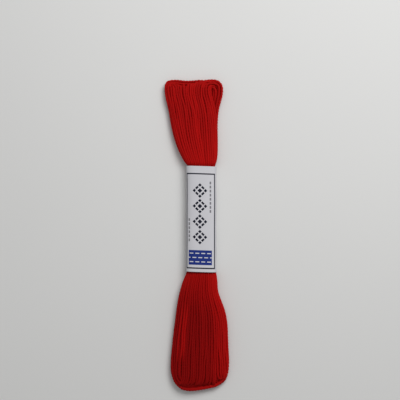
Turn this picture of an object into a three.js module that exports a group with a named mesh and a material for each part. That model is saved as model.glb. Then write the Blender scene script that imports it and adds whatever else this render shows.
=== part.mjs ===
// A skein of cotton thread for running-stitch embroidery. One long thread is wound into a
// loop of many turns, the loop is pressed flat, and a paper band draws it in at the middle.
// It lies on its back on a table, with its face up.
//
// Units are millimetres. +Z is up, +Y runs along the skein to its squarer end and +X runs
// across its face. The origin is on the table, under the middle of the skein.

import * as THREE from "three";

// Driving dimensions.
const SKEIN_LENGTH = 170;
const HALF_LENGTH = SKEIN_LENGTH / 2;

const BAND = {
  centreX: 2.55,
  centreY: 8.8,
  length: 58,
  width: 16.4,
  height: 9,
  paper: 1, // thickness of the wrapped paper
  squareness: 3, // 2 is an ellipse, more is boxier
  sides: 56,
};
const BAND_TOP = BAND.centreY + BAND.length / 2;
const BAND_FOOT = BAND.centreY - BAND.length / 2;
const CLEARANCE = 0.3; // between the thread and the paper

// The wound thread.
const LOCKS = 13; // bundles of thread that lie side by side on the face
const LOCK_RELIEF = 0.55; // depth of the hollows between bundles
const LOCK_POINTS = 3; // points across a bundle, one of them in the hollow beside it
const CREST_UNEVENNESS = 0.3; // share of that depth by which the bundles' crests differ
const SIDES = 2 * LOCKS * LOCK_POINTS; // points round a section, face and back
const SWAY = 0.12; // angle by which the bundles swing round the section along each half
const BODY_SQUARENESS = 2.5;
const BED_DEPTH = 0.6; // how much of each section's round underside is pressed flat
const SHOULDER = 1.1; // beyond the paper's edge, where the thread has spread to full size
const STEP = 3; // spacing of sections along the skein
const WAIST_STEP = 12; // spacing where the paper hides them

// Each end turns over from the face to the back in a round fold.
const FOLD_STEPS = 7;
const FOLD_SQUARENESS = 3.2; // 2 is a slender nose, more is a blunter one
const LOOP_UNEVENNESS = 0.5; // how far single loops stand out at the ends
const CREST_SEED = 1; // seeds of the uneven crests and loops
const LOOP_SEED = 2;

// The hollow of the loop that opens at the right corner of the squarer end.
const EYE = { x: 9.7, y: 79, halfWidth: 1.3, halfLength: 2.3, depth: 2.2 };

// The sides of the face, from the paper band to the corners of each end. left and right are
// the edges of the thread at height y, and thick is how high it stands there.
const UPPER_SIDES = [
  { y: 38.9, left: -6.0, right: 11.3, thick: 8.4 },
  { y: 41.0, left: -7.4, right: 11.5, thick: 8.3 },
  { y: 45.4, left: -9.9, right: 11.7, thick: 8.0 },
  { y: 50.0, left: -11.5, right: 11.7, thick: 7.6 },
  { y: 56.3, left: -13.4, right: 11.6, thick: 7.2 },
  { y: 63.0, left: -14.6, right: 11.7, thick: 6.9 },
  { y: 69.4, left: -15.7, right: 12.4, thick: 6.7 },
  { y: 74.0, left: -16.9, right: 13.7, thick: 6.5 },
  { y: 78.0, left: -17.6, right: 14.7, thick: 6.4 },
  { y: 81.3, left: -17.9, right: 14.8, thick: 6.3 },
];
const LOWER_SIDES = [
  { y: -21.3, left: -5.8, right: 11.0, thick: 8.3 },
  { y: -24.0, left: -7.2, right: 11.5, thick: 8.2 },
  { y: -30.6, left: -9.3, right: 11.7, thick: 7.9 },
  { y: -35.0, left: -10.3, right: 13.2, thick: 7.7 },
  { y: -39.4, left: -11.1, right: 15.1, thick: 7.4 },
  { y: -43.7, left: -11.5, right: 16.4, thick: 7.2 },
  { y: -50.0, left: -12.4, right: 17.1, thick: 7.0 },
  { y: -61.2, left: -13.6, right: 17.5, thick: 6.8 },
  { y: -70.5, left: -14.3, right: 17.9, thick: 6.6 },
  { y: -75.0, left: -13.7, right: 17.3, thick: 6.4 },
];

// The edges of the two ends. across runs from -1 at the left side to 1 at the right side.
const TOP_EDGE = [
  { across: -1, y: 81.3 },
  { across: -0.96, y: 83.5 },
  { across: -0.89, y: 84.6 },
  { across: -0.6, y: 84.8 },
  { across: -0.3, y: 84.4 },
  { across: 0.1, y: 84.8 },
  { across: 0.5, y: HALF_LENGTH },
  { across: 0.8, y: 84.8 },
  { across: 0.91, y: 83.5 },
  { across: 1, y: 81 },
];
const FOOT_EDGE = [
  { across: -1, y: -74.5 },
  { across: -0.96, y: -78 },
  { across: -0.85, y: -81.9 },
  { across: -0.66, y: -84 },
  { across: -0.4, y: -HALF_LENGTH },
  { across: -0.1, y: -84.6 },
  { across: 0.2, y: -83.6 },
  { across: 0.6, y: -82.6 },
  { across: 0.8, y: -80.4 },
  { across: 0.93, y: -77.6 },
  { across: 1, y: -73.5 },
];
const TOP_FOLD_FROM = 77; // heights where the folds of the two ends begin
const FOOT_FOLD_FROM = -71;

// Materials.
const threadFinish = new THREE.MeshStandardMaterial({
  color: 0xa3100f,
  roughness: 0.85,
  metalness: 0,
});
const paperFinish = new THREE.MeshStandardMaterial({
  color: 0xdcdbe0,
  roughness: 0.7,
  metalness: 0,
});

// A smooth curve through the rows of a table. It is read at a value of the key column, and
// gives the other columns there.
function table(rows, key) {
  const ordered = [...rows].sort((a, b) => a[key] - b[key]);
  const names = Object.keys(rows[0]).filter((name) => name !== key);
  const places = ordered.map((row) => row[key]);
  const values = ordered.flatMap((row) => names.map((name) => row[name]));
  const curve = new THREE.CubicInterpolant(places, values, names.length);
  return (place) => {
    const read = curve.evaluate(place);
    return Object.fromEntries(names.map((name, i) => [name, read[i]]));
  };
}

// A point of a rounded box of half sizes 1, at an angle counted from +X towards +Z. Points
// at even angles lie evenly across the broad faces and close together round the edges.
function roundedBox(angle, squareness) {
  const across = Math.cos(angle);
  const height = Math.max(0, 1 - Math.abs(across) ** squareness) ** (1 / squareness);
  return [across, Math.sign(Math.sin(angle)) * height];
}

// How far above or below its middle a section's surface lies. The lower half reaches deeper
// than half the height, and what would stand below that is pressed flat.
function pressedHeight(upward, halfHeight, relief = 0) {
  const depth = upward > 0 ? halfHeight : halfHeight + BED_DEPTH;
  return Math.max(upward * (depth + relief), -halfHeight);
}

// A repeatable share between 0 and 1 that differs from one column of points to the next.
function uneven(column, seed) {
  return THREE.MathUtils.seededRandom(seed * SIDES + column);
}

// Heights of the sections between two heights, at most a step apart, without the last one.
function spacedHeights(from, to, step) {
  const count = Math.ceil(Math.abs(to - from) / step);
  return Array.from({ length: count }, (_, i) => from + ((to - from) * i) / count);
}

// The sections of one half, from the shoulder at the band to the edge of the end. fullness
// is the share of the thickness that the fold leaves, and reach is how far a section has
// gone from the start of the fold to the edge.
function halfSections(sides, edge, shoulderY, foldY) {
  const sidesAt = table(sides, "y");
  const edgeAt = table(edge, "across");
  const body = spacedHeights(shoulderY, foldY, STEP).map((y) => ({
    y,
    ...sidesAt(y),
    lift: 0,
    edgeAt,
    fullness: 1,
    reach: 0,
  }));
  const cornerY = edge[0].y;
  const fold = Array.from({ length: FOLD_STEPS + 1 }, (_, i) => {
    const reach = Math.sin((Math.PI / 2) * (i / FOLD_STEPS));
    const remaining = 1 - reach ** FOLD_SQUARENESS;
    const fullness = i === FOLD_STEPS ? 0 : remaining ** (1 / FOLD_SQUARENESS);
    const sizes = sidesAt(foldY + (cornerY - foldY) * reach);
    return { y: foldY, ...sizes, lift: 0, edgeAt, fullness, reach };
  });
  return [...body, ...fold];
}

// The sections under the paper, a clearance inside it, and a little beyond both its edges.
function waistSections() {
  const inset = BAND.paper + CLEARANCE;
  const half = BAND.width / 2 - inset;
  const ends = [BAND_FOOT - CLEARANCE, BAND_TOP + CLEARANCE];
  return [...spacedHeights(...ends, WAIST_STEP), ends[1]].map((y) => ({
    y,
    left: BAND.centreX - half,
    right: BAND.centreX + half,
    thick: BAND.height - 2 * inset,
    lift: inset,
    fullness: 1,
    reach: 0,
  }));
}

// One point of a section. Points with the same column on the face and on the back meet at
// the edge of an end, so that each bundle of thread runs over the fold.
function sectionPoint(section, k) {
  const column = Math.min(k, SIDES - k);
  const swing = SWAY * Math.sin((2 * Math.PI * section.y) / SKEIN_LENGTH);
  const angle = (2 * Math.PI * k) / SIDES + swing * (1 - section.reach);
  const [across, upward] = roundedBox(angle, BODY_SQUARENESS);
  const halfWidth = (section.right - section.left) / 2;
  const halfThick = section.thick / 2;
  const sunk = column % LOCK_POINTS === 1 ? 1 : CREST_UNEVENNESS * uneven(column, CREST_SEED);
  const relief = -LOCK_RELIEF * sunk * section.fullness;
  const x = (section.left + section.right) / 2 + across * (halfWidth + relief);
  const y = section.y + section.reach * (edgeY(section, across, column) - section.y);
  const height = pressedHeight(upward, halfThick, relief) * section.fullness;
  const hollow = upward > 0 ? eyeDepth(x, y) * section.fullness : 0;
  return new THREE.Vector3(x, y, section.lift + halfThick + height - hollow);
}

// Where the edge of a section's end lies, with its loops a little uneven.
function edgeY(section, across, column) {
  if (!section.edgeAt) return section.y;
  const edge = section.edgeAt(across).y;
  return edge - Math.sign(edge) * LOOP_UNEVENNESS * uneven(column, LOOP_SEED);
}

// How deep the hollow of the open loop lies below the face at a place.
function eyeDepth(x, y) {
  const far = ((x - EYE.x) / EYE.halfWidth) ** 2 + ((y - EYE.y) / EYE.halfLength) ** 2;
  return EYE.depth * Math.exp(-far);
}

// A closed skin over a row of sections. The first and last sections have no thickness, so
// their points pair up and close the ends.
function skin(sections) {
  const points = sections.flatMap((section) =>
    Array.from({ length: SIDES }, (_, k) => sectionPoint(section, k)),
  );
  const faces = [];
  for (let j = 0; j + 1 < sections.length; j++) {
    for (let k = 0; k < SIDES; k++) {
      const a = j * SIDES + k;
      const b = j * SIDES + ((k + 1) % SIDES);
      faces.push(a, a + SIDES, b, b, a + SIDES, b + SIDES);
    }
  }
  const geometry = new THREE.BufferGeometry().setFromPoints(points);
  geometry.setIndex(faces);
  geometry.computeVertexNormals();
  return geometry;
}

// The wound thread: the rounder end, the waist under the band and the squarer end.
function makeThread() {
  const lower = halfSections(LOWER_SIDES, FOOT_EDGE, BAND_FOOT - SHOULDER, FOOT_FOLD_FROM);
  const upper = halfSections(UPPER_SIDES, TOP_EDGE, BAND_TOP + SHOULDER, TOP_FOLD_FROM);
  const sections = [...lower.reverse(), ...waistSections(), ...upper];
  const mesh = new THREE.Mesh(skin(sections), threadFinish);
  mesh.name = "thread_skein";
  return mesh;
}

// The outline of the band's section, inset from its outer face, with a flat underside.
function bandOutline(inset) {
  return Array.from({ length: BAND.sides }, (_, k) => {
    const angle = (2 * Math.PI * k) / BAND.sides;
    const [across, upward] = roundedBox(angle, BAND.squareness);
    return new THREE.Vector2(
      across * (BAND.width / 2 - inset),
      pressedHeight(upward, BAND.height / 2 - inset),
    );
  });
}

// The paper band: a strip wrapped once round the waist and stuck to itself.
function makeBand() {
  const shape = new THREE.Shape(bandOutline(0));
  shape.holes.push(new THREE.Path(bandOutline(BAND.paper).reverse()));
  const geometry = new THREE.ExtrudeGeometry(shape, {
    depth: BAND.length,
    bevelEnabled: false,
  });
  const mesh = new THREE.Mesh(geometry, paperFinish);
  mesh.name = "paper_band";
  mesh.rotation.x = Math.PI / 2;
  mesh.position.set(BAND.centreX, BAND_TOP, BAND.height / 2);
  return mesh;
}

const skein = new THREE.Group();
skein.add(makeThread(), makeBand());

export default skein;
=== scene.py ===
"""A flat skein of red cotton thread, drawn in at its waist by a paper band.

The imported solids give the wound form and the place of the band. One long thread is laid turn
by turn inside that form: a sheet of strands on the face, a sheet on the back, and round turns
from one to the other at both ends. A strip of paper is then wrapped round the waist.
"""

from __future__ import annotations

import logging
import math
from dataclasses import dataclass, field
from enum import Enum
from functools import reduce
from typing import Any

import bpy
import numpy as np
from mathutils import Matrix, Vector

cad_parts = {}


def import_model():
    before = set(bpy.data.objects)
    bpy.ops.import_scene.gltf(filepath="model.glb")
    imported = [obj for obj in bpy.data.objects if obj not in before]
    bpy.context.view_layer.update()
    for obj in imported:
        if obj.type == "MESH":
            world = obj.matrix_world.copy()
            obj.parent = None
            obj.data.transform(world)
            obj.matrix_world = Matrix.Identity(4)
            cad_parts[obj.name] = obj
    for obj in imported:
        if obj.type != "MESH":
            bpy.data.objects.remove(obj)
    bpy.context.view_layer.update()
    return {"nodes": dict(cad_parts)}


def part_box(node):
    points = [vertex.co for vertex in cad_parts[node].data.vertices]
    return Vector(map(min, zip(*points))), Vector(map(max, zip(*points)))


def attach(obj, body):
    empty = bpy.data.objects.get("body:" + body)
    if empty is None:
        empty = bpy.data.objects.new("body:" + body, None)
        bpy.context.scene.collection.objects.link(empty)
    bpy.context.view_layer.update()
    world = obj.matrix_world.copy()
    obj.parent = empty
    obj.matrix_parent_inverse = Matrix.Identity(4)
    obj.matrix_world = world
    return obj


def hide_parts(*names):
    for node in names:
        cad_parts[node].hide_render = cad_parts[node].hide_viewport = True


MM = 0.001
THREAD_NODE = "thread_skein"
BAND_NODE = "paper_band"
BODY = "root"
PAPER_TRIM = 0.3 * MM  # how far each edge of the paper stays inside the solid's
PLY_MAP = "Ply"
BAKE_MAP = "OFBake"
STRIP_MAP = "Strip"
TONE = "tone"
PLIES = 4
X, Y, Z = 0, 1, 2
POINT = slice(0, 3)  # columns of a row of the thread's route
OUTWARD = slice(3, 6)
TONE_COLUMN = 6
ROW_RISE = math.sqrt(3) / 2  # height of a row of strands that lies in the hollows of another
NO_GAP = 1e-9  # added to distances, and the next to moves, before something is divided by them
NO_MOVE = 1e-12

log = logging.getLogger("skein")
Colour = tuple[float, float, float]
Value = Any  # a number, a colour, a vector or a Shade


class Sheet(Enum):
    """The two sheets of strands that the pressed loop forms."""

    FACE = 1
    BACK = -1


class End(Enum):
    """The two ends where strands turn over from one sheet to the other."""

    SQUARE = 1
    ROUND = -1


class Shade:
    """A socket of a material that takes part in Python expressions."""

    def __init__(self, painter: Painter, socket: bpy.types.NodeSocket) -> None:
        """Keeps the socket and the painter that adds nodes after it."""
        self.painter = painter
        self.socket = socket

    def __add__(self, other: Value) -> Shade:
        """Adds a value."""
        return self.painter.maths("ADD", self, other)

    __radd__ = __add__

    def __sub__(self, other: Value) -> Shade:
        """Takes a value away."""
        return self.painter.maths("SUBTRACT", self, other)

    def __rsub__(self, other: Value) -> Shade:
        """Takes this away from a value."""
        return self.painter.maths("SUBTRACT", other, self)

    def __mul__(self, other: Value) -> Shade:
        """Multiplies by a value."""
        return self.painter.maths("MULTIPLY", self, other)

    __rmul__ = __mul__

    def __truediv__(self, other: Value) -> Shade:
        """Divides by a value."""
        return self.painter.maths("DIVIDE", self, other)

    def __rtruediv__(self, other: Value) -> Shade:
        """Divides a value by this."""
        return self.painter.maths("DIVIDE", other, self)

    def __mod__(self, other: Value) -> Shade:
        """The rest of a division by a value, never negative."""
        return self.painter.maths("FLOORED_MODULO", self, other)

    def __rmod__(self, other: Value) -> Shade:
        """The rest of a value's division by this, never negative."""
        return self.painter.maths("FLOORED_MODULO", other, self)

    def __abs__(self) -> Shade:
        """The size without its sign."""
        return self.painter.maths("ABSOLUTE", self)

    def most(self, other: Value) -> Shade:
        """The larger of two values."""
        return self.painter.maths("MAXIMUM", self, other)

    def least(self, other: Value) -> Shade:
        """The smaller of two values."""
        return self.painter.maths("MINIMUM", self, other)

    def below(self, edge: float, soft: float) -> Shade:
        """1 where this is below an edge and 0 above it.

        Args:
            edge: The value at which the answer is a half.
            soft: The width of the change.

        Returns:
            The answer as a shade.
        """
        return self.painter.node(
            "ShaderNodeMapRange",
            {"interpolation_type": "SMOOTHSTEP"},
            {0: self, 1: edge - soft / 2, 2: edge + soft / 2, 3: 1.0, 4: 0.0},
        )


class Painter:
    """Adds the nodes of one material."""

    def __init__(self, name: str) -> None:
        """Starts a material with an empty surface.

        Args:
            name: The material's name.
        """
        self.material = bpy.data.materials.new(name)
        self.material.use_nodes = True
        self.tree = self.material.node_tree
        self.tree.nodes.clear()
        output = self.tree.nodes.new("ShaderNodeOutputMaterial")
        self.surface = self.tree.nodes.new("ShaderNodeBsdfPrincipled")
        self.tree.links.new(self.surface.outputs[0], output.inputs["Surface"])

    def feed(self, socket: bpy.types.NodeSocket, value: Value) -> None:
        """Links a shade to a socket, or sets the socket to a plain value.

        Args:
            socket: The input to feed.
            value: A shade, number, colour or vector.
        """
        if isinstance(value, Shade):
            self.tree.links.new(value.socket, socket)
        elif isinstance(value, tuple) and socket.type == "RGBA":
            socket.default_value = (*value, 1.0)
        else:
            socket.default_value = value

    def node(
        self,
        kind: str,
        settings: dict[str, Any] | None = None,
        sockets: dict[str | int, Value] | None = None,
        output: str | int = 0,
    ) -> Shade:
        """Adds a node.

        Args:
            kind: Blender's name of the node's type.
            settings: The node's own settings, which are set first.
            sockets: Values or shades for its inputs, by name or number.
            output: The output that is wanted.

        Returns:
            That output as a shade.
        """
        made = self.tree.nodes.new(kind)
        for name, value in (settings or {}).items():
            setattr(made, name, value)
        for name, value in (sockets or {}).items():
            self.feed(made.inputs[name], value)
        return Shade(self, made.outputs[output])

    def maths(self, operation: str, *values: Value) -> Shade:
        """Adds a Math node for one operation on values."""
        return self.node("ShaderNodeMath", {"operation": operation}, dict(enumerate(values)))

    def mix(self, share: Value, first: Value, second: Value) -> Shade:
        """Mixes two colours, the second by a share from 0 to 1."""
        sockets = {0: share, 6: first, 7: second}
        return self.node("ShaderNodeMix", {"data_type": "RGBA"}, sockets, output=2)

    def map_place(self, name: str) -> tuple[Shade, Shade]:
        """The two coordinates of a UV map of the piece."""
        sockets = {0: self.node("ShaderNodeUVMap", {"uv_map": name})}
        return tuple(self.node("ShaderNodeSeparateXYZ", None, sockets, axis) for axis in (X, Y))

    def vector(self, x: Value, y: Value, z: Value) -> Shade:
        """A vector from three values."""
        return self.node("ShaderNodeCombineXYZ", sockets={0: x, 1: y, 2: z})

    def noise(self, place: Value, scale: float, detail: float = 3.0) -> Shade:
        """Soft noise between 0 and 1 at a place."""
        sockets = {"Vector": place, "Scale": scale, "Detail": detail}
        return self.node("ShaderNodeTexNoise", sockets=sockets)

    def bump(self, height: Shade, strength: float, distance: float) -> None:
        """Roughens the surface by a height from 0 to 1 that stands for a distance in metres."""
        sockets = {"Height": height, "Strength": strength, "Distance": distance}
        self.set(Normal=self.node("ShaderNodeBump", sockets=sockets))

    def set(self, **values: Value) -> None:
        """Sets inputs of the surface, with _ for each space in their names."""
        for name, value in values.items():
            self.feed(self.surface.inputs[name.replace("_", " ")], value)


@dataclass(frozen=True)
class ThreadFinish:
    """Matte twisted cotton, dyed deep red."""

    deep: Colour = (0.2, 0.001, 0.001)
    bright: Colour = (0.6, 0.005, 0.004)
    tone_share: float = 0.6
    fibre_share: float = 0.36
    # painted shade: how much darker the ply grooves are coloured where the plies meet
    groove_painted_shade: float = 0.28
    fibre_scale: float = 2600.0
    fibre_stretch: float = 0.25  # of the scale, along the thread
    fibre_girth: float = 3.0 * MM  # length that stands for the way round the thread
    fibre_roughness: float = 0.15
    roughness: float = 0.65
    specular: float = 0.08
    sheen: float = 0.4
    sheen_roughness: float = 0.45
    sheen_tint: Colour = (0.9, 0.02, 0.015)
    bump_strength: float = 0.5
    bump_height: float = 0.06 * MM

    def material(self) -> bpy.types.Material:
        """Paints fibres, painted shade in the ply grooves, and tones that differ along the thread.

        Returns:
            The material.
        """
        paint = Painter("red_cotton_thread")
        along, around = paint.map_place(PLY_MAP)
        groove = 1 - abs((around * PLIES) % 1 - 0.5) * 2
        place = paint.vector(along * self.fibre_stretch, around * self.fibre_girth, 0.0)
        fibre = paint.noise(place, self.fibre_scale)
        tone = paint.node("ShaderNodeAttribute", {"attribute_name": TONE}, output="Fac")
        # the tone carries painted light and shade, and the grooves are darkened as painted shade
        light = tone * self.tone_share + fibre * self.fibre_share - groove * self.groove_painted_shade
        paint.set(
            Base_Color=paint.mix(light.most(0.0).least(1.0), self.deep, self.bright),
            Roughness=self.roughness + fibre * self.fibre_roughness,
            Specular_IOR_Level=self.specular,
            Sheen_Weight=self.sheen,
            Sheen_Roughness=self.sheen_roughness,
            Sheen_Tint=self.sheen_tint,
        )
        paint.bump(fibre - groove, self.bump_strength, self.bump_height)
        return paint.material


@dataclass(frozen=True)
class Spot:
    """A place on the strip of paper from its middle, or half of a size on it, in metres."""

    across: Value
    along: Value


@dataclass(frozen=True)
class StitchRow:
    """A short printed row of stitches."""

    middle: Spot
    half_length: float


@dataclass(frozen=True)
class PaperFinish:
    """Uncoated off-white paper with a thin printed frame and stitched motifs."""

    sheet: Colour = (0.63, 0.625, 0.658)
    shaded: float = 0.88  # of the sheet's colour, in its darkest clouds
    ink: Colour = (0.008, 0.009, 0.022)
    indigo: Colour = (0.012, 0.03, 0.2)
    roughness: float = 0.72
    ink_gloss: float = 0.1
    specular: float = 0.15
    fibre_scale: float = 1800.0
    fibre_detail: float = 5.0
    fibre_share: float = 0.3
    cloud_scale: float = 140.0
    cloud_share: float = 0.5
    bump_strength: float = 0.25
    bump_height: float = 0.05 * MM
    soft: float = 0.1 * MM  # width of an edge of the print
    line: float = 0.7 * MM
    frame: Spot = Spot(-0.45 * MM, -1.08 * MM)
    frame_half: Spot = Spot(8.25 * MM, 25.94 * MM)
    motif_pitch: float = 8.4 * MM
    motif_count: int = 4
    motif_middle: Spot = Spot(-0.8 * MM, 2.8 * MM)
    motif_radius: float = 3.2 * MM
    motif_heart: float = 1.3 * MM
    motif_line: float = 1.1 * MM
    motif_share: float = 0.76
    stitch: float = 2.2 * MM
    stitch_share: float = 0.66
    row_strength: float = 0.7
    row_half_width: float = 0.42 * MM
    rows: tuple[StitchRow, ...] = (
        StitchRow(Spot(4.9 * MM, 12.0 * MM), 8.8 * MM),
        StitchRow(Spot(-6.7 * MM, -6.0 * MM), 6.6 * MM),
    )
    patch: Spot = Spot(-0.6 * MM, -20.9 * MM)
    patch_half: Spot = Spot(6.4 * MM, 4.0 * MM)
    patch_row: float = 2.3 * MM
    patch_row_half_width: float = 0.252 * MM
    patch_stitch: float = 3.2 * MM

    def material(self, band: PaperBand) -> bpy.types.Material:
        """Paints the paper and its print.

        Args:
            band: The band, whose strip the print is placed on.

        Returns:
            The material.
        """
        paint = Painter("printed_paper")
        across, along = paint.map_place(STRIP_MAP)
        place = Spot((across - 0.5) * band.strip_length, (along - 0.5) * band.length)
        ink = self.frame_line(place).most(self.motifs(place))
        faint = self.stitch_rows(place) * self.row_strength
        patch = self.inside(place, self.patch, self.patch_half)
        spot = paint.node("ShaderNodeTexCoord", output="Object")
        fibre = paint.noise(spot, self.fibre_scale, self.fibre_detail)
        cloud = paint.noise(spot, self.cloud_scale)
        darker = tuple(part * self.shaded for part in self.sheet)
        colour = paint.mix(cloud * self.cloud_share + fibre * self.fibre_share, self.sheet, darker)
        colour = paint.mix(ink.most(faint), colour, self.ink)
        colour = paint.mix(patch, colour, self.indigo)
        paint.set(
            Base_Color=paint.mix(patch * self.patch_stitches(place), colour, self.sheet),
            Roughness=self.roughness - ink.most(patch) * self.ink_gloss,
            Specular_IOR_Level=self.specular,
        )
        paint.bump(fibre + cloud, self.bump_strength, self.bump_height)
        return paint.material

    @staticmethod
    def past(place: Spot, middle: Spot, half: Spot) -> Shade:
        """How far a place is outside a rectangle on the strip, and less than 0 inside it."""
        beyond = abs(place.across - middle.across) - half.across
        return beyond.most(abs(place.along - middle.along) - half.along)

    def inside(self, place: Spot, middle: Spot, half: Spot) -> Shade:
        """1 inside a rectangle on the strip and 0 outside it."""
        return self.past(place, middle, half).below(0.0, self.soft)

    def frame_line(self, place: Spot) -> Shade:
        """1 on the thin printed frame and 0 elsewhere."""
        beyond = self.past(place, self.frame, self.frame_half)
        return abs(beyond + self.line / 2).below(self.line / 2, self.soft)

    def dashes(self, along: Shade, pitch: float, share: float) -> Shade:
        """1 on the dashes of a running stitch, which fill a share of it, and 0 between them."""
        return abs((along / pitch) % 1 - 0.5).below(share / 2, self.soft / pitch)

    def motifs(self, place: Spot) -> Shade:
        """A column of stitched diamonds, each with a small full one in its middle.

        Args:
            place: The place on the strip.

        Returns:
            1 on the stitches and 0 elsewhere.
        """
        half = self.motif_pitch * self.motif_count / 2
        off = place.along - self.motif_middle.along
        aside = abs(place.across - self.motif_middle.across)
        beside = abs((off + half) % self.motif_pitch - self.motif_pitch / 2)
        edge = abs(aside + beside - self.motif_radius)
        edge = edge.below(self.motif_line / math.sqrt(2), self.soft)
        around = aside - beside + self.motif_radius / 2  # so that a stitch lies on each tip
        stitches = edge * self.dashes(around, self.motif_radius, self.motif_share)
        heart = (aside + beside).below(self.motif_heart, self.soft)
        return stitches.most(heart) * abs(off).below(half, self.soft)

    def stitch_rows(self, place: Spot) -> Shade:
        """Short rows of fine stitches beside the motifs.

        Args:
            place: The place on the strip.

        Returns:
            1 on the stitches and 0 elsewhere.
        """
        masks = []
        for row in self.rows:
            line = self.inside(place, row.middle, Spot(self.row_half_width, row.half_length))
            along = place.along - (row.middle.along - row.half_length)
            masks.append(line * self.dashes(along, self.stitch, self.stitch_share))
        return reduce(Shade.most, masks)

    def patch_stitches(self, place: Spot) -> Shade:
        """Rows of running stitches on the indigo patch, each row half a stitch on.

        Args:
            place: The place on the strip.

        Returns:
            1 on the stitches and 0 elsewhere.
        """
        row = (place.along - self.patch.along) / self.patch_row + 0.5
        line = (abs(row % 1 - 0.5) * self.patch_row).below(self.patch_row_half_width, self.soft)
        shift = (row / 2 % 1).below(0.5, self.soft / self.patch_row) * self.patch_stitch / 2
        across = place.across - (self.patch.across - self.patch_half.across) + shift
        return line * self.dashes(across, self.patch_stitch, self.stitch_share)


def smooth_step(value: np.ndarray | float) -> np.ndarray | float:
    """A smooth rise from 0 to 1 as a value goes from 0 to 1."""
    held = np.clip(value, 0.0, 1.0)
    return held * held * (3 - 2 * held)


def soften(rows: np.ndarray, passes: int) -> np.ndarray:
    """Smooths rows along the first axis.

    Args:
        rows: The rows, of which the first and last are kept.
        passes: How often each row is mixed with its neighbours.

    Returns:
        The smoothed rows.
    """
    for _ in range(passes):
        rows = rows.copy()
        rows[1:-1] = (rows[:-2] + 2 * rows[1:-1] + rows[2:]) / 4
    return rows


def lengths_along(rows: np.ndarray) -> np.ndarray:
    """The length along a line from its start to each of its rows."""
    steps = np.linalg.norm(np.diff(rows[:, POINT], axis=0), axis=1)
    return np.concatenate([[0.0], np.cumsum(steps)])


def resampled(rows: np.ndarray, step: float) -> np.ndarray:
    """A line cut into even steps.

    Args:
        rows: The line's points, with the values that go with them.
        step: About how long a step is.

    Returns:
        The new rows.
    """
    at = lengths_along(rows)
    new = np.linspace(0.0, at[-1], round(at[-1] / step) + 1)
    return np.stack([np.interp(new, at, column) for column in rows.T], axis=1)


@dataclass(frozen=True)
class Section:
    """A cut across the wound form. Its roof and bed are heights at even steps from edge to edge."""

    left: float
    right: float
    roof: np.ndarray
    bed: np.ndarray
    steps = np.linspace(0.0, 1.0, 49)  # shares of the width, the same for every section

    @classmethod
    def from_points(cls, points: np.ndarray) -> Section:
        """Reads a section from points on its outline.

        Args:
            points: Rows of x and z.

        Returns:
            The section.
        """
        left, right = points[:, 0].min(), points[:, 0].max()
        middle = (points[:, 1].min() + points[:, 1].max()) / 2
        places = left + (right - left) * cls.steps
        chains = []
        for part in (points[points[:, 1] >= middle], points[points[:, 1] <= middle]):
            ordered = part[np.argsort(part[:, 0])]
            chains.append(np.interp(places, ordered[:, 0], ordered[:, 1]))
        return cls(left, right, *chains)

    def fitted(self, low: np.ndarray, high: np.ndarray) -> Section:
        """The same section stretched to a box.

        Args:
            low: The box's lowest corner.
            high: Its highest corner.

        Returns:
            The stretched section.
        """
        scale = (high[Z] - low[Z]) / (self.roof.max() - self.bed.min())
        roof, bed = (low[Z] + (c - self.bed.min()) * scale for c in (self.roof, self.bed))
        return Section(low[X], high[X], roof, bed)

    def at(self, heights: np.ndarray, x: np.ndarray) -> np.ndarray:
        """The roof's or the bed's heights at places across."""
        return np.interp(x, self.left + (self.right - self.left) * self.steps, heights)


@dataclass(frozen=True)
class WoundForm:
    """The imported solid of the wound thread, as the corners of its triangles."""

    corners: np.ndarray
    edge_cuts: int = 121
    edge_margin: float = 0.2 * MM

    @classmethod
    def from_node(cls, node: bpy.types.Object) -> WoundForm:
        """Reads the solid's triangles.

        Args:
            node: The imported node.

        Returns:
            The form.
        """
        mesh = node.data
        mesh.calc_loop_triangles()
        points = np.empty(3 * len(mesh.vertices))
        mesh.vertices.foreach_get("co", points)
        triangles = np.empty(3 * len(mesh.loop_triangles), np.int32)
        mesh.loop_triangles.foreach_get("vertices", triangles)
        return cls(points.reshape(-1, 3)[triangles.reshape(-1, 3)])

    def cut(self, axis: int, place: float) -> np.ndarray:
        """Points where the solid's edges cross a plane.

        Args:
            axis: The axis that the plane is square to.
            place: Where the plane lies on it.

        Returns:
            One row of x, y and z for each crossing.
        """
        others = np.roll(self.corners, -1, axis=1)
        here, there = self.corners[..., axis] - place, others[..., axis] - place
        crossing = (here < 0) != (there < 0)
        share = here[crossing] / (here[crossing] - there[crossing])
        return self.corners[crossing] + share[:, None] * (others - self.corners)[crossing]

    def section(self, y: float) -> Section:
        """The section at a place along the skein."""
        return Section.from_points(self.cut(Y, y)[:, [X, Z]])

    def edge(self, end: End) -> tuple[np.ndarray, np.ndarray]:
        """How far an end reaches.

        Args:
            end: The end.

        Returns:
            Places across, and the place along the skein of the end's edge at each of them.
        """
        low, high = self.corners[..., X].min(), self.corners[..., X].max()
        places = np.linspace(low + self.edge_margin, high - self.edge_margin, self.edge_cuts)
        reach = [(end.value * self.cut(X, place)[:, Y]).max() for place in places]
        return places, end.value * np.array(reach)


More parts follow.
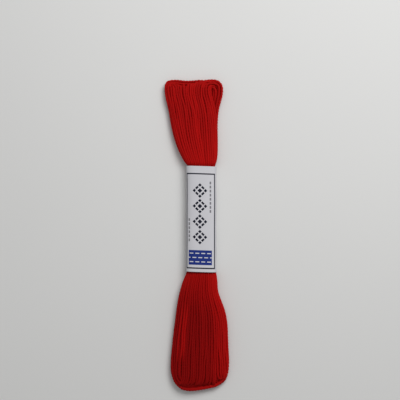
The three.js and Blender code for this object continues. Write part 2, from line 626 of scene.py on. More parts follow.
@dataclass(frozen=True)
class Region:
    """The part of a section that one sheet of strands may fill."""

    left: float
    right: float
    low: np.ndarray
    high: np.ndarray

    def bounds(self, x: np.ndarray) -> tuple[np.ndarray, np.ndarray]:
        """The lowest and highest place at places across."""
        steps = self.left + (self.right - self.left) * Section.steps
        return np.interp(x, steps, self.low), np.interp(x, steps, self.high)

    def place(self, shares: np.ndarray) -> np.ndarray:
        """Finds places in the region.

        Args:
            shares: Rows of shares of the width and height.

        Returns:
            Rows of x and z.
        """
        x = self.left + (self.right - self.left) * shares[:, 0]
        low, high = self.bounds(x)
        return np.stack([x, low + (high - low) * shares[:, 1]], axis=1)

    def shares(self, places: np.ndarray) -> np.ndarray:
        """Says where places lie in the region.

        Args:
            places: Rows of x and z.

        Returns:
            Rows of shares of the width and height.
        """
        low, high = self.bounds(places[:, 0])
        across = (places[:, 0] - self.left) / (self.right - self.left)
        return np.stack([across, (places[:, 1] - low) / (high - low)], axis=1)

    def hold(self, places: np.ndarray) -> np.ndarray:
        """Moves places to the nearest ones that are inside.

        Args:
            places: Rows of x and z.

        Returns:
            The new places.
        """
        x = places[:, 0].clip(self.left, self.right)
        low, high = self.bounds(x)
        return np.stack([x, places[:, 1].clip(low, high)], axis=1)

    def spacing(self, count: int, pitch: float) -> float:
        """How far apart a number of strands of about a pitch lie when they fill it evenly."""
        deep = (self.high - self.low).mean() + pitch * ROW_RISE
        return math.sqrt(deep * (self.right - self.left + pitch) / count / ROW_RISE)


@dataclass(frozen=True)
class Sweep:
    """Strands that run along an end's edge before they turn under, the outermost first.

    Places are counted from the left of each sheet, and go up or down by a step.
    """

    count: int
    face: int
    face_step: int
    back: int
    back_step: int
    pitch: float = 0.57 * MM
    squareness: float = 5.0
    bulge: float = 0.0  # how far its corners stand out sideways

    def places(self) -> tuple[np.ndarray, np.ndarray]:
        """The places of its strands on the face, and of their partners on the back."""
        nest = np.arange(self.count)
        return self.face + self.face_step * nest, self.back + self.back_step * nest


@dataclass(frozen=True)
class EndLay:
    """How the strands lie at one end."""

    fold_from: float  # where along the skein they begin to turn over
    proud: float  # how far the turns stand out from the solid's edge
    sweeps: tuple[Sweep, ...]


SQUARE_END = EndLay(
    fold_from=77.0 * MM,
    proud=0.25 * MM,
    sweeps=(
        Sweep(count=6, face=0, face_step=1, back=41, back_step=-5, squareness=7.5, bulge=0.8 * MM),
        Sweep(count=7, face=45, face_step=2, back=57, back_step=-1, pitch=0.55 * MM, bulge=0.4 * MM),
    ),
)
ROUND_END = EndLay(
    fold_from=-71.0 * MM,
    proud=0.75 * MM,
    sweeps=(
        Sweep(count=10, face=0, face_step=1, back=56, back_step=-4, bulge=0.5 * MM),
        Sweep(count=6, face=57, face_step=-1, back=41, back_step=2),
    ),
)


@dataclass(frozen=True)
class Turn:
    """How one strand turns over at an end."""

    short: float  # how far its tip stays from the form's edge
    squareness: float
    bulge: float


@dataclass(frozen=True)
class Eye:
    """The small opening near the squarer end that the innermost swept turn leaves."""

    x: float = 9.9 * MM
    half_width: float = 1.6 * MM
    opens_over: float = 0.12  # share of the half skein in which it opens
    parts_over: float = 0.35  # share of the half skein in which the face draws back from it
    rise: float = 3.0  # how soon the back's strands come up beside it
    fill: float = 0.15  # how far the strands under it come up

    def opened(self, reach: float) -> float:
        """How wide it is at a share of the half skein, from 0 to 1."""
        return smooth_step((reach - 1) / self.opens_over + 1)

    def parted(self, reach: float) -> float:
        """How far the face has drawn back at a share of the half skein, from 0 to 1."""
        return smooth_step((reach - 1) / self.parts_over + 1)


@dataclass(frozen=True)
class DyeAndPaintedLight:
    """Tones from 0, deep, to 1, bright, random by strand, with painted light and shade."""

    upper: tuple[float, float] = (0.45, 0.8)  # range of the strands of the squarer half
    lower: tuple[float, float] = (0.04, 0.22)  # rounder half's range, darker as painted shade
    flank: float = 0.65  # painted light: how much lighter the right flank of the rounder half is
    painted_band_light: float = 0.5  # painted light: share by which strands near the paper near full lightness
    painted_band_light_length: float = 28.0 * MM

    def tone(self, end: End, chance: np.ndarray, across: np.ndarray) -> np.ndarray:
        """The tones of strands on the way to an end, with painted light and shade on the rounder
        half.

        Args:
            end: The end.
            chance: For each strand, a random share of the range.
            across: For each strand, its place across from 0, left, to 1, right.

        Returns:
            The tones.
        """
        if end is End.SQUARE:
            return np.interp(chance, (0.0, 1.0), self.upper)
        # painted light on the right flank, added to the rounder half's darker range of painted shade
        past_middle = 2 * across - 1
        return np.interp(chance, (0.0, 1.0), self.lower) + self.flank * smooth_step(past_middle)


@dataclass(frozen=True)
class Riders:
    """A few strands that ride on top of their neighbours for a stretch, lit by a painted highlight.
    """

    x: float = -8.0 * MM
    y: float = -53.0 * MM
    half_length: float = 18.0 * MM
    count: int = 3
    rise: float = 0.4 * MM
    # painted highlight: how much lighter the riding strands are coloured
    tone: float = 0.5
    height_weight: float = 2.0  # how much height counts beside place when they are chosen

    def share(self, y: np.ndarray) -> np.ndarray:
        """How fully they ride at places along the skein, from 0 to 1."""
        return smooth_step(2 - 2 * np.abs(y - self.y) / self.half_length)

    def chosen(self, strands: np.ndarray) -> np.ndarray:
        """The uppermost strands near where some ride on their neighbours.

        Args:
            strands: Points of the face by slice and strand.

        Returns:
            The riding strands.
        """
        near = strands[np.abs(strands[:, 0, Y] - self.y).argmin()]
        deep = near[:, Z].max() - near[:, Z]
        return np.argsort(np.hypot(near[:, X] - self.x, self.height_weight * deep))[: self.count]


@dataclass(frozen=True)
class LaidSheet:
    """A sheet whose strands are laid and toned, with painted light and shade in the tones."""

    sheet: Sheet
    strands: dict[End, np.ndarray]  # points by slice and strand, from the waist outwards
    tones: dict[End, np.ndarray]

    def leg(self, end: End, strand: int) -> np.ndarray:
        """The straight stretch of a strand from the waist to an end.

        Args:
            end: The end.
            strand: The strand's number.

        Returns:
            Rows of a point, the direction outwards and the tone.
        """
        points = self.strands[end][:, strand]
        beside = [0.0, 0.0, float(self.sheet.value), self.tones[end][strand]]
        return np.concatenate([points, np.tile(beside, (len(points), 1))], axis=1)


@dataclass(frozen=True)
class TwistedThread:
    """The thread itself: plies that are twisted along a line."""

    diameter: float = 1.3 * MM
    swell: float = 1.15  # how full the soft thread lies, as a share of its diameter
    groove: float = 0.2  # of the radius, between two plies
    twist: float = 6.4 * MM  # length of one turn of the plies
    step: float = 0.7 * MM
    sides: int = 2 * PLIES  # a crest and a groove for each ply
    map_margin: float = 0.05  # share of a strip of the map that is left free at each side

    def piece(self, name: str, rows: np.ndarray, radius: np.ndarray) -> bpy.types.Object:
        """Makes a length of thread along a line.

        Args:
            name: The piece's name.
            rows: The line in even steps: points, directions outwards and tones.
            radius: The thread's radius at each row.

        Returns:
            The piece.
        """
        sides = np.arange(self.sides)
        points, outward, along = rows[:, POINT], rows[:, OUTWARD], lengths_along(rows)
        ahead = np.gradient(points, axis=0)
        ahead /= np.linalg.norm(ahead, axis=1, keepdims=True)
        normal = outward - (outward * ahead).sum(axis=1, keepdims=True) * ahead
        normal /= np.linalg.norm(normal, axis=1, keepdims=True)
        beside = np.cross(ahead, normal)
        angle = (2 * math.pi * (along[:, None] / self.twist + sides / self.sides))[..., None]
        crest = np.where(sides % 2 == 0, 1.0, 1.0 - self.groove)
        out = np.cos(angle) * normal[:, None] + np.sin(angle) * beside[:, None]
        vertices = points[:, None] + (radius[:, None] * crest)[..., None] * out
        ring, side = (c.ravel() for c in np.indices((len(rows) - 1, self.sides)))
        here, after = ring * self.sides, (side + 1) % self.sides
        there = here + self.sides
        quads = np.stack([here + side, here + after, there + after, there + side], axis=-1)
        mesh = bpy.data.meshes.new(name)
        faces = np.concatenate([quads, self.caps(len(rows))])
        mesh.from_pydata(vertices.reshape(-1, 3), [], faces)
        self.add_maps(mesh, along, ring, side)
        tones = np.repeat(rows[:, TONE_COLUMN], self.sides)
        mesh.attributes.new(TONE, "FLOAT", "POINT").data.foreach_set("value", tones)
        mesh.shade_smooth()
        piece = bpy.data.objects.new(name, mesh)
        bpy.context.scene.collection.objects.link(piece)
        return piece

    def caps(self, count: int) -> np.ndarray:
        """Rows of four corners that close both ends of a tube with a number of rings."""
        fan = np.array([(0, a, a + 1, a + 2) for a in range(1, self.sides - 1, 2)])
        return np.concatenate([fan[:, ::-1], fan + (count - 1) * self.sides])

    def add_maps(
        self, mesh: bpy.types.Mesh, along: np.ndarray, ring: np.ndarray, side: np.ndarray
    ) -> None:
        """Adds a map that follows the plies, and one whose strips lie apart.

        Args:
            mesh: The tube, with its caps last.
            along: Length along the thread of each ring.
            ring: The ring of each quad.
            side: The side of each quad.
        """
        steps = len(along) - 1
        strips = max(1, round(math.sqrt(steps * self.step / (math.pi * self.diameter))) // 2)
        strip_steps = math.ceil(steps / strips)
        strip = (ring // strip_steps)[:, None]
        rings = ring[:, None] + np.array([0, 0, 1, 1])
        turn = (side[:, None] + np.array([0, 1, 1, 0])) / self.sides
        inside = self.map_margin + (1 - 2 * self.map_margin) * turn
        ply = np.stack([along[rings], turn], axis=-1)
        spot = np.stack([rings / strip_steps - strip, (strip + inside) / strips], axis=-1)
        spare = np.zeros((4 * (len(mesh.polygons) - len(ring)), 2))
        for name, values in ((PLY_MAP, ply), (BAKE_MAP, spot)):
            layer = mesh.uv_layers.new(name=name)
            flat = np.concatenate([values.reshape(-1, 2), spare])
            layer.uv.foreach_set("vector", flat.astype(np.float32).ravel())


@dataclass
class WoundThread:
    """One thread wound into a loop of many turns that is pressed flat."""

    form: WoundForm
    band_low: np.ndarray
    band_high: np.ndarray
    turns: int = 58
    lengths: int = 4  # pieces that the thread is made in
    slice_length: float = 1.5 * MM  # step along the skein at which strands are laid
    paper_room: float = 0.4 * MM  # from the paper's outside to the thread
    waist_share: float = 0.9  # of its fullness, where the paper presses the thread
    release: float = 8.0 * MM  # length over which it fills out again
    release_under: float = 0.4  # share of that length that lies under the paper
    pinch: float = 0.6 * MM  # how deep the band draws the face in
    pinch_length: float = 1.5 * MM
    sheet_gap: float = 0.7  # of the radius, that each sheet keeps from the middle
    least_depth: float = 0.2  # of the radius, that a sheet has at its thinnest
    room_range: tuple[float, float] = (0.82, 1.2)  # how much room single strands take
    crowding: float = 1.08  # of the even spacing, that strands push each other to
    give: float = 0.3  # share of a push that a strand follows
    rounds: int = 14  # pushes at each slice
    waist_rounds: int = 25  # how often those are repeated at the waist
    steepest: float = 0.24  # most that a strand moves sideways, for its length
    straightening: int = 8  # passes that smooth the strands
    wander: float = 0.13 * MM
    waves: tuple[float, ...] = (1.7, 3.1, 4.6)  # how often it wanders on the way to an end
    wander_from: float = 0.6  # share of the way to an end before which it runs straight
    wander_onset: float = 2.5  # how soon it then wanders fully
    crossing: int = 5  # how many places a strand may be off its partner when it turns over
    turn_steps: int = 64
    turn_squareness: float = 3.2
    tip_retreat: float = 0.85  # share of their depth that inner turns stay back
    tip_unevenness: float = 0.4 * MM
    tuck: float = 0.38  # share of the swept strands' width that other tips stay back for
    draft_step: float = 1.0 * MM  # step of the route while it is smoothed
    draft_softening: int = 3  # passes that smooth the route
    seed: int = 7
    thread: TwistedThread = TwistedThread()
    eye: Eye = Eye()
    dye_and_light: DyeAndPaintedLight = DyeAndPaintedLight()
    riders: Riders = Riders()
    ends: dict[End, EndLay] = field(
        default_factory=lambda: {End.SQUARE: SQUARE_END, End.ROUND: ROUND_END}
    )

    def __post_init__(self) -> None:
        """Starts the seeded chance, and finds the waist and the edges of both ends."""
        self.chance = np.random.default_rng(self.seed)
        self.waist_y = (self.band_low[Y] + self.band_high[Y]) / 2
        self.edges = {end: self.form.edge(end) for end in End}

    def slices(self, end: End) -> np.ndarray:
        """Places along the skein from the waist to where an end begins."""
        span = self.ends[end].fold_from - self.waist_y
        return self.waist_y + span * np.linspace(0.0, 1.0, round(abs(span) / self.slice_length) + 1)

    def beyond_band(self, y: np.ndarray | float) -> np.ndarray | float:
        """How far places along the skein are past the paper's edges, and less than 0 under it."""
        return np.maximum(self.band_low[Y] - y, y - self.band_high[Y])

    def section(self, y: float) -> Section:
        """The section that the thread fills, which is the paper's inside under the band.

        Args:
            y: The place along the skein.

        Returns:
            The section.
        """
        if self.beyond_band(y) > 0:
            return self.form.section(y)
        low, high = self.band_low + self.paper_room, self.band_high - self.paper_room
        return self.form.section(self.waist_y).fitted(low, high)

    def eye_at(self, end: End, y: float) -> tuple[float, float]:
        """How the eye shows at a place along the skein.

        Args:
            end: The end that this half of the skein runs to.
            y: The place along the skein.

        Returns:
            How wide the eye is, and how far the face has drawn back, both from 0 to 1.
        """
        if end is End.ROUND:
            return 0.0, 0.0
        reach = (y - self.waist_y) / (self.ends[end].fold_from - self.waist_y)
        return self.eye.opened(reach), self.eye.parted(reach)

    def region(self, sheet: Sheet, end: End, y: float) -> Region:
        """Where a sheet's strands may lie at a place along the skein.

        Args:
            sheet: The sheet.
            end: The end that this half of the skein runs to.
            y: The place along the skein.

        Returns:
            The region for the middles of the strands.
        """
        section = self.section(y)
        wide = self.thread.diameter
        radius = wide / 2
        left, right = section.left + radius, section.right - radius
        opened, parted = self.eye_at(end, y)
        split = right + (self.eye.x - right) * parted
        if sheet is Sheet.FACE:
            right = split - (self.eye.half_width * opened + radius) * parted
        places = left + (right - left) * Section.steps
        roof = section.at(section.roof, places) - radius
        bed = section.at(section.bed, places) + radius
        middle = (section.roof.max() + section.bed.min()) / 2
        rows = self.turns * wide * ROW_RISE / (right - left + wide)
        deep = max(radius, (rows - ROW_RISE) * wide)
        apart, thin = self.sheet_gap * radius, self.least_depth * radius
        if sheet is Sheet.FACE:
            low = np.minimum(np.maximum(middle + apart, roof - deep), roof - thin)
            return Region(left, right, low, roof)
        high = np.maximum(np.minimum(middle - apart, bed + deep), bed + thin)
        half_width = radius + (self.eye.half_width - radius) * opened
        beyond = smooth_step((places - split) / (2 * half_width) + 0.5 + self.eye.fill * opened)
        risen = beyond * smooth_step(self.eye.rise * parted)
        return Region(left, right, bed, high + risen * (roof - high).clip(0.0))

    def settle(self, region: Region, places: np.ndarray, room: np.ndarray, most: float) -> np.ndarray:
        """Moves strands apart until they lie evenly.

        Args:
            region: Where they may lie.
            places: Where they start.
            room: The room that each pair keeps, as a share of the even spacing.
            most: The furthest that one may move.

        Returns:
            Their new places.
        """
        spacing = room * region.spacing(len(places), self.thread.diameter) * self.crowding
        start = places
        for _ in range(self.rounds):
            apart = places[:, None] - places[None]
            far = np.linalg.norm(apart, axis=2) + NO_GAP
            push = np.clip(spacing - far, 0.0, None) / far
            np.fill_diagonal(push, 0.0)
            moved = places + self.give * (push[..., None] * apart).sum(axis=1) - start
            size = np.linalg.norm(moved, axis=1, keepdims=True) + NO_MOVE
            places = region.hold(start + moved * np.minimum(1.0, most / size))
        return places

    def lay_sheet(self, sheet: Sheet) -> dict[End, np.ndarray]:
        """Lays a sheet's strands from the waist to both ends.

        Args:
            sheet: The sheet.

        Returns:
            For each end, points by slice and strand, from the waist outwards.
        """
        share = self.chance.uniform(*self.room_range, self.turns)
        room = (share[:, None] + share[None]) / 2
        region = self.region(sheet, End.SQUARE, self.waist_y)
        places = region.place(self.chance.uniform(0.0, 1.0, (self.turns, 2)))
        for _ in range(self.waist_rounds):
            places = self.settle(region, places, room, self.thread.diameter)
        return {end: self.spread(sheet, end, places, room) for end in End}

    def spread(self, sheet: Sheet, end: End, places: np.ndarray, room: np.ndarray) -> np.ndarray:
        """Follows a sheet's strands from the waist to one end.

        Args:
            sheet: The sheet.
            end: The end.
            places: The strands' places at the waist.
            room: The room that each pair keeps.

        Returns:
            Points by slice and strand.
        """
        heights = self.slices(end)
        regions = [self.region(sheet, end, y) for y in heights]
        most = self.steepest * self.slice_length
        rows = [places]
        for before, after in zip(regions, regions[1:]):
            carried = after.hold(after.place(before.shares(rows[-1])))
            rows.append(self.settle(after, carried, room, most))
        rows = soften(np.array(rows), self.straightening)
        out = np.linspace(0.0, 1.0, len(heights))[:, None]
        waves = sum(
            np.sin(2 * math.pi * (out * turns + self.chance.uniform(0, 1, self.turns)))
            for turns in self.waves
        )
        strength = smooth_step((out - self.wander_from) * self.wander_onset)
        rows[..., 0] += self.wander * waves * strength
        rows = np.array([r.hold(row) for r, row in zip(regions, rows)])
        along = np.broadcast_to(heights[:, None, None], (*rows.shape[:2], 1))
        strands = np.concatenate([rows[..., :1], along, rows[..., 1:]], axis=2)
        if (sheet, end) == (Sheet.FACE, End.ROUND):
            rise = self.riders.rise * self.riders.share(heights)
            strands[:, self.riders.chosen(strands), Z] += rise[:, None]
        return strands

    def pairs(self, end: End, face: np.ndarray, back: np.ndarray) -> np.ndarray:
        """Which back strand each face strand turns over to at an end.

        Args:
            end: The end.
            face: The face strands' points there.
            back: The back strands' points there.

        Returns:
            For each face strand, the number of its back strand.
        """
        face_order, back_order = np.argsort(face[:, X]), np.argsort(back[:, X])
        places = np.full(self.turns, -1)
        for sweep in self.ends[end].sweeps:
            on_face, on_back = sweep.places()
            places[on_face] = on_back
        free = np.flatnonzero(places < 0)
        rest = np.setdiff1d(np.arange(self.turns), places)
        loose = np.arange(free.size) + self.chance.uniform(0, self.crossing, free.size)
        places[free] = rest[np.argsort(np.argsort(loose))]
        paired = np.empty(self.turns, int)
        paired[face_order] = back_order[places]
        return paired

    def order_turns(self, top: np.ndarray, foot: np.ndarray, from_left: np.ndarray) -> list[int]:
        """Makes the turns one thread and lists its face strands in order.

        Args:
            top: The back strand of each face strand at the squarer end.
            foot: The back strand of each face strand at the rounder end. Neighbours change
                partners there until all turns follow each other, the free ones first.
            from_left: The face strands in order across the rounder end.

        Returns:
            The face strands in the thread's order.
        """
        swept = np.concatenate([sweep.places()[0] for sweep in self.ends[End.ROUND].sweeps])
        for group in (np.delete(from_left, swept), from_left):
            for face, beside in zip(group, group[1:]):
                if beside not in self.loop_of(face, top, foot):
                    foot[[face, beside]] = foot[[beside, face]]
        return self.loop_of(from_left[0], top, foot)

    @staticmethod
    def loop_of(face: int, top: np.ndarray, foot: np.ndarray) -> list[int]:
        """Follows the thread from a face strand until it comes back to it.

        Args:
            face: The strand to start from.
            top: The back strand of each face strand at the squarer end.
            foot: The back strand of each face strand at the rounder end.

        Returns:
            The face strands that it passes.
        """
        from_back = np.argsort(foot)
        loop = [face]
        while (following := int(from_back[top[loop[-1]]])) != face:
            loop.append(following)
        return loop

    def turn_over(self, end: End, face: np.ndarray, back: np.ndarray, turn: Turn) -> np.ndarray:
        """The round turn of one strand at an end.

        Args:
            end: The end.
            face: The last row of the face strand.
            back: The last row of the back strand.
            turn: How it turns.

        Returns:
            Rows from the face to the back.
        """
        middle = (face + back) / 2
        angle = np.linspace(0.0, math.pi, self.turn_steps + 1)[1:-1]
        power = 2 / turn.squareness
        side = np.sign(np.cos(angle)) * np.abs(np.cos(angle)) ** power
        rows = middle + side[:, None] * (face - middle)
        rows[:, X] += turn.bulge * np.sign(face[X] - back[X]) * np.sin(2 * angle)
        inside = self.thread.diameter / 2 + turn.short - self.ends[end].proud
        tips = np.interp(rows[:, X], *self.edges[end]) - end.value * inside
        rows[:, Y] = middle[Y] + (tips - middle[Y]) * np.sin(angle) ** power
        rows[:, OUTWARD] = 0.0
        rows[:, OUTWARD.start + Y] = end.value * np.sin(angle)
        rows[:, OUTWARD.start + Z] = np.cos(angle)
        return rows

    def turns_at(self, end: End, face: np.ndarray, back: np.ndarray) -> list[Turn]:
        """How each strand turns over at an end.

        Args:
            end: The end.
            face: The face strands' last points.
            back: The last points of their back strands.

        Returns:
            One turn for each face strand.
        """
        section = self.section(self.ends[end].fold_from)
        across = (face[:, X] + back[:, X]) / 2
        tall = section.at(section.roof, across) - section.at(section.bed, across)
        full = (tall - self.thread.diameter) / 2
        short = self.tip_retreat * (full - (face[:, Z] - back[:, Z]) / 2).clip(0.0)
        short += self.chance.uniform(0.0, self.tip_unevenness, self.turns)
        squareness, bulge = np.full(self.turns, self.turn_squareness), np.zeros(self.turns)
        from_left = np.argsort(face[:, X])
        swept = [(sweep, from_left[sweep.places()[0]]) for sweep in self.ends[end].sweeps]
        for sweep, strands in swept:
            for strand in strands:
                low, high = sorted((face[strand, X], back[strand, X]))
                short[(across > low) & (across < high)] += self.tuck * sweep.pitch
        for sweep, strands in swept:
            short[strands] = np.arange(sweep.count) * sweep.pitch
            squareness[strands], bulge[strands] = sweep.squareness, sweep.bulge
        return [Turn(*values) for values in zip(short, squareness, bulge)]

    def route(self) -> list[np.ndarray]:
        """The thread's route, turn by turn, each from the waist and back to it.

        Returns:
            For each turn, rows of a point, the direction outwards and the tone.
        """
        face, back = self.lay_sheet(Sheet.FACE), self.lay_sheet(Sheet.BACK)
        partner = {end: self.pairs(end, face[end][-1], back[end][-1]) for end in End}
        from_left = np.argsort(face[End.ROUND][-1][:, X])
        order = self.order_turns(partner[End.SQUARE], partner[End.ROUND], from_left)
        turn = {
            end: self.turns_at(end, face[end][-1], back[end][-1][partner[end]]) for end in End
        }
        front = LaidSheet(Sheet.FACE, face, self.tones(face))
        rear = LaidSheet(Sheet.BACK, back, self.tones(back))
        riding = self.riders.chosen(face[End.ROUND])
        turns = []
        for strand, following in zip(order, order[1:] + order[:1]):
            other = partner[End.SQUARE][strand]
            up = front.leg(End.SQUARE, strand)
            down = rear.leg(End.SQUARE, other)[::-1]
            under = rear.leg(End.ROUND, other)[1:]
            home = front.leg(End.ROUND, following)[::-1]
            # painted highlight on the riding strands, where they ride
            if following in riding:
                home[:, TONE_COLUMN] += self.riders.tone * self.riders.share(home[:, Y])
            over = self.turn_over(End.SQUARE, up[-1], down[0], turn[End.SQUARE][strand])
            below = self.turn_over(End.ROUND, home[0], under[-1], turn[End.ROUND][following])
            turns.append(np.concatenate([up, over, down, under, below[::-1], home[:-1]]))
        return turns

    def tones(self, strands: dict[End, np.ndarray]) -> dict[End, np.ndarray]:
        """The tones of a sheet's strands.

        Args:
            strands: For each end, points by slice and strand.

        Returns:
            For each end, one tone for each strand.
        """
        chance = self.chance.uniform(0.0, 1.0, self.turns)
        across = {end: np.argsort(np.argsort(strands[end][-1][:, X])) / self.turns for end in End}
        return {end: self.dye_and_light.tone(end, chance, across[end]) for end in End}

    def thickness(self, rows: np.ndarray) -> np.ndarray:
        """The thread's radius at rows of its route: less where the paper presses it.

        Args:
            rows: Rows of the thread's route.

        Returns:
            The radius at each row.
        """
        free = smooth_step(self.beyond_band(rows[:, Y]) / self.release + self.release_under)
        full = self.thread.swell * self.thread.diameter / 2
        return full * (self.waist_share + (1 - self.waist_share) * free)

    def draw_in(self, rows: np.ndarray) -> None:
        """Draws the face down at the paper, and paints light onto the strands near it.

        Args:
            rows: Rows of the thread's route, which are changed.
        """
        beyond = self.beyond_band(rows[:, Y])
        upper = rows[:, OUTWARD.start + Z].clip(0.0)
        rows[:, Z] -= self.pinch * upper * smooth_step(1 - beyond / self.pinch_length)
        rows[:, Z] = np.maximum(rows[:, Z], self.thickness(rows))
        # painted light on the strands near the paper
        painted_band_light = self.dye_and_light.painted_band_light * smooth_step(1 - beyond / self.dye_and_light.painted_band_light_length)
        rows[:, TONE_COLUMN] += (1 - rows[:, TONE_COLUMN]) * painted_band_light

    def build(self) -> list[bpy.types.Object]:
        """Makes the thread in a few lengths that meet under the paper.

        Returns:
            The pieces.
        """
        turns = self.route()
        pieces, total = [], 0.0
        bounds = np.linspace(0, len(turns), self.lengths + 1).round().astype(int)
        for number, (first, last) in enumerate(zip(bounds, bounds[1:]), start=1):
            rows = np.concatenate([*turns[first:last], turns[last % len(turns)][:1]])
            rows = soften(resampled(rows, self.draft_step), self.draft_softening)
            rows = resampled(rows, self.thread.step)
            self.draw_in(rows)
            total += lengths_along(rows)[-1]
            piece = self.thread.piece(f"thread_length_{number}", rows, self.thickness(rows))
            pieces.append(piece)
        log.info("thread of %.2f m in %d turns", total, len(turns))
        return pieces

    def dress(self, pieces: list[bpy.types.Object], finish: ThreadFinish) -> None:
        """Gives the pieces their finish and their place in the frame.

        Args:
            pieces: The lengths of thread.
            finish: The finish that they share.
        """
        material = finish.material()
        for piece in pieces:
            piece.data.materials.append(material)
            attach(piece, BODY)
            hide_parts(THREAD_NODE)


@dataclass
class PaperBand:
    """A strip of paper wrapped round the waist and stuck to itself at the back."""

    low: np.ndarray
    high: np.ndarray
    thickness: float = 0.22 * MM
    lap: float = 6.0 * MM
    lap_depth: float = 1.2  # of the thickness, that the lap's under layer lies deeper
    squareness: float = 3.0
    press: float = 0.6 * MM  # how far the round underside is pressed flat
    outline_steps: int = 1440
    cells_round: int = 120
    cells_along: int = 60
    skew: float = 0.035  # slope of its edges across the face
    wave: float = 0.07 * MM
    wave_across: float = 5.2 * MM
    wave_along: float = 9.0 * MM
    wave_start: tuple[float, float] = (0.7, 0.4)
    slant_share: float = 0.6  # of the wave, that runs aslant
    slant_across: float = 7.7 * MM
    slant_along: float = 4.1 * MM
    flare: float = 0.12 * MM
    flare_power: int = 12
    free_height: float = 4.0 * MM  # above which the paper is free to wave
    crease: float = math.radians(40)

    def __post_init__(self) -> None:
        """Works out the outline that the strip follows and the strip's length."""
        self.length = self.high[Y] - self.low[Y]
        self.middle = (self.low + self.high) / 2
        half = (self.high - self.low) / 2
        angle = np.linspace(-math.pi, math.pi, self.outline_steps + 1)
        power = 2 / self.squareness
        x, z = (np.sign(c) * np.abs(c) ** power for c in (np.sin(angle), np.cos(angle)))
        z = np.where(z > 0, z * half[Z], np.maximum(z * (half[Z] + self.press), -half[Z]))
        self.outline = np.stack([x * half[X], z], axis=1) + self.middle[[X, Z]]
        steps = np.linalg.norm(np.diff(self.outline, axis=0), axis=1)
        self.places = np.concatenate([[0.0], np.cumsum(steps)])
        self.girth = self.places[-1]
        self.strip_length = self.girth + self.lap

    def build(self) -> bpy.types.Object:
        """Wraps a flat strip of paper round the waist.

        Returns:
            The piece.
        """
        bpy.ops.object.select_all(action="DESELECT")
        bpy.ops.mesh.primitive_grid_add(
            x_subdivisions=self.cells_round, y_subdivisions=self.cells_along, size=1.0
        )
        piece = bpy.context.active_object
        piece.name = piece.data.name = "paper_wrap"
        piece.data.uv_layers.active.name = STRIP_MAP
        flat = np.empty(3 * len(piece.data.vertices))
        piece.data.vertices.foreach_get("co", flat)
        shares = flat.reshape(-1, 3)[:, :2]
        wrapped = self.wrap(shares[:, 0] * self.strip_length, shares[:, 1] * self.length)
        piece.data.vertices.foreach_set("co", wrapped.ravel())
        piece.data.update()
        self.thicken(piece)
        return piece

    def lifted(self, across: np.ndarray, along: np.ndarray) -> np.ndarray:
        """How far the strip waves outwards.

        Args:
            across: Place across the strip from its middle.
            along: Place along the skein from the band's middle.

        Returns:
            The height of the waves, with the flare at both edges.
        """
        first, second = self.wave_start
        wave = np.sin(across / self.wave_across + first) * np.sin(along / self.wave_along + second)
        wave += self.slant_share * np.sin(along / self.slant_along - across / self.slant_across)
        return self.wave * wave + self.flare * (along / (self.length / 2)) ** self.flare_power

    def wrap(self, across: np.ndarray, along: np.ndarray) -> np.ndarray:
        """Places of the strip's points once it is wrapped.

        Args:
            across: Place across the strip from its middle, which lies on the face.
            along: Place along the skein from the band's middle.

        Returns:
            Rows of x, y and z.
        """
        start = across + self.girth / 2
        at = start % self.girth
        x, z = (np.interp(at, self.places, column) for column in self.outline.T)
        slope = [np.gradient(column, self.places) for column in self.outline.T]
        run_x, run_z = (np.interp(at, self.places, column) for column in slope)
        size = np.hypot(run_x, run_z)
        under = 1 - smooth_step(start / self.lap - 0.5)
        raised = smooth_step(z / self.free_height) * self.lifted(across, along)
        raised -= under * self.lap_depth * self.thickness
        around = self.girth / (2 * math.pi)
        y = along - self.skew * around * np.sin(across / around) + self.middle[Y]
        return np.stack([x - run_z / size * raised, y, z + run_x / size * raised], axis=1)

    def thicken(self, piece: bpy.types.Object) -> None:
        """Gives the paper its thickness, inwards.

        Args:
            piece: The wrapped strip.
        """
        wall = piece.modifiers.new("paper", "SOLIDIFY")
        wall.thickness = self.thickness
        wall.offset = -1.0
        bpy.ops.object.modifier_apply(modifier=wall.name)
        bpy.ops.object.shade_smooth_by_angle(angle=self.crease)

    def dress(self, piece: bpy.types.Object, finish: PaperFinish) -> None:
        """Gives the band its print and its place in the frame.

        Args:
            piece: The wrapped strip.
            finish: Its finish.
        """
        piece.data.materials.append(finish.material(self))
        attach(piece, BODY)
        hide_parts(BAND_NODE)


@dataclass(frozen=True)
class Lamp:
    """A square soft light that points at the skein."""

    name: str
    place: tuple[float, float, float]
    size: float
    power: float

    def build(self) -> None:
        """Makes the light."""
        light = bpy.data.lights.new(self.name, "AREA")
        light.energy, light.size = self.power, self.size
        lamp = bpy.data.objects.new(self.name, light)
        lamp.location = self.place
        lamp.rotation_euler = lamp.location.to_track_quat("Z", "Y").to_euler()
        bpy.context.scene.collection.objects.link(lamp)


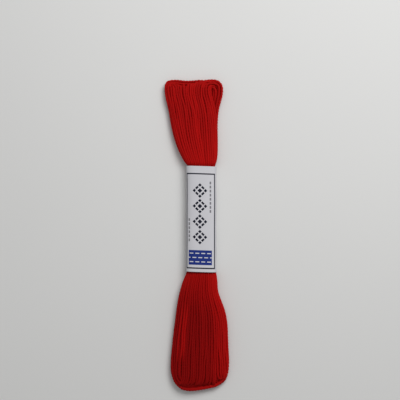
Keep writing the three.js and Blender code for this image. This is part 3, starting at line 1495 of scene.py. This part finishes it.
@dataclass
class Studio:
    """The floor, the lights and the camera."""

    view_x: float = 1.81 * MM
    view_y: float = 19.13 * MM
    view_z: float = 3.5 * MM
    view_width: float = 218.65 * MM
    lens: float = 100.0
    sensor: float = 36.0
    floor_size: float = 4.0
    floor_colour: Colour = (0.72, 0.72, 0.71)
    floor_shaded: float = 0.96  # of its colour, in its darkest clouds
    floor_clouds: float = 6.0
    floor_roughness: float = 0.8
    daylight: float = 0.3
    lamps: tuple[Lamp, ...] = (
        Lamp("key", (0.2, 0.36, 0.5), 0.36, 2.8),
        Lamp("fill", (-0.25, 0.35, 1.1), 1.0, 1.25),
    )

    def build(self) -> None:
        """Makes the floor, the lights and the camera."""
        self.make_floor()
        for lamp in self.lamps:
            lamp.build()
        world = bpy.data.worlds.new("studio")
        world.use_nodes = True
        backdrop = world.node_tree.nodes["Background"]
        backdrop.inputs["Color"].default_value = (1.0, 1.0, 1.0, 1.0)
        backdrop.inputs["Strength"].default_value = self.daylight
        bpy.context.scene.world = world
        bpy.context.scene.view_settings.view_transform = "Standard"
        self.make_camera()

    def make_floor(self) -> None:
        """A plain pale floor under the skein."""
        bpy.ops.object.select_all(action="DESELECT")
        bpy.ops.mesh.primitive_plane_add(size=self.floor_size)
        floor = bpy.context.active_object
        floor.name = "floor"
        paint = Painter("pale_floor")
        clouds = paint.noise(paint.node("ShaderNodeTexCoord", output="Object"), self.floor_clouds)
        darker = tuple(part * self.floor_shaded for part in self.floor_colour)
        paint.set(Base_Color=paint.mix(clouds, self.floor_colour, darker))
        paint.set(Roughness=self.floor_roughness)
        floor.data.materials.append(paint.material)

    def make_camera(self) -> None:
        """A camera straight above the face, with a long lens."""
        data = bpy.data.cameras.new("camera")
        data.lens, data.sensor_width = self.lens, self.sensor
        camera = bpy.data.objects.new("camera", data)
        rise = self.view_z + self.view_width * self.lens / self.sensor
        camera.location = (self.view_x, self.view_y, rise)
        bpy.context.scene.collection.objects.link(camera)
        bpy.context.scene.camera = camera


def main() -> None:
    """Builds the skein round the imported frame."""
    logging.basicConfig(level=logging.INFO, format="%(name)s: %(message)s")
    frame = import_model()
    low, high = (np.array(corner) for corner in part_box(BAND_NODE))
    low[Y] += PAPER_TRIM
    high[Y] -= PAPER_TRIM
    thread = WoundThread(WoundForm.from_node(frame["nodes"][THREAD_NODE]), low, high)
    lengths = thread.build()
    thread.dress(lengths, ThreadFinish())
    band = PaperBand(low, high)
    wrap = band.build()
    band.dress(wrap, PaperFinish())
    for piece in (*lengths, wrap):
        log.info("%s has %d faces", piece.name, len(piece.data.polygons))
    Studio().build()


if __name__ == "__main__":
    main()
